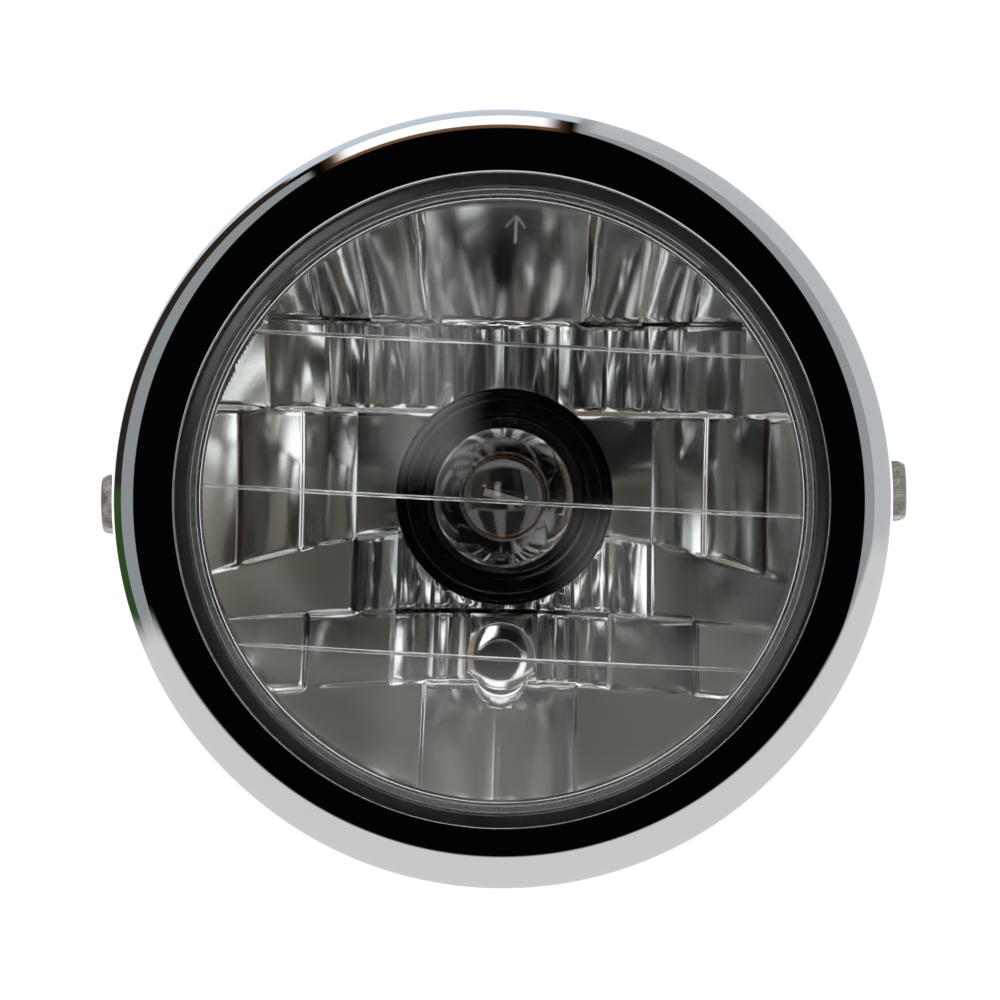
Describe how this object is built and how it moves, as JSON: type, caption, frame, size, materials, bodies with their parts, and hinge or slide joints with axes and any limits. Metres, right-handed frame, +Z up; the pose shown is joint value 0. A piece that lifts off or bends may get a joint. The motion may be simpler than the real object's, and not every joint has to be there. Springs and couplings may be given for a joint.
{
  "type": "motorcycle headlight",
  "caption": "Round motorcycle headlight: chromed rim and bowl, clear domed lens over a stepped faceted reflector, bayonet bulb in a black collar, and a threaded nut on each side.",
  "frame": {"origin": "where the line through the two side nuts crosses the beam axis", "axes": "+X to the right seen from in front of the lens, along the side nuts; +Y along the beam axis towards the back of the bowl; +Z up"},
  "size_m": [0.19, 0.1286, 0.18],
  "materials": {
    "chrome_plate": "bright chrome plate on pressed steel",
    "lens_glass": "clear pressed glass",
    "mirror_coating": "vacuum-metallised moulding",
    "black_plastic": "glossy black moulding",
    "black_rubber": "moulded rubber",
    "grey_sealant": "bonding bead with a grainy surface",
    "zinc_steel": "zinc-plated steel",
    "spring_steel": "bright spring steel",
    "cap_brass": "plain brass",
    "solder": "dull solder",
    "bulb_glass": "clear blown glass",
    "black_glass": "black glass insulator",
    "brown_board": "pressed insulating board",
    "nickel_wire": "nickel wire and sheet",
    "tungsten": "drawn tungsten"
  },
  "bodies": {
    "root": {"rim": "chrome_plate", "bowl": "chrome_plate", "lens": "lens_glass", "reflector": "mirror_coating", "lens_gasket": "black_rubber", "lens_seal": "grey_sealant", "bulb_collar": "black_plastic", "socket_boot": "black_rubber", "wire_grommet": "black_rubber", "side_nuts": "zinc_steel", "rim_screws": "zinc_steel", "screw_washers": "zinc_steel", "screw_nuts": "zinc_steel", "rim_lug_right": "zinc_steel", "rim_lug_left": "zinc_steel", "socket": "zinc_steel", "contact_spring": "spring_steel", "bulb_cap": "cap_brass", "contact_rivets": "cap_brass", "cap_contacts": "solder", "bulb_glass": "bulb_glass", "bulb_stem": "bulb_glass", "cap_insulator": "black_glass", "contact_plate": "brown_board", "bulb_leads": "nickel_wire", "dip_shield": "nickel_wire", "main_filament": "tungsten", "dip_filament": "tungsten", "retaining_clip_1": "spring_steel", "retaining_clip_2": "spring_steel", "retaining_clip_3": "spring_steel", "retaining_clip_4": "spring_steel"}
  },
  "joints": []
}
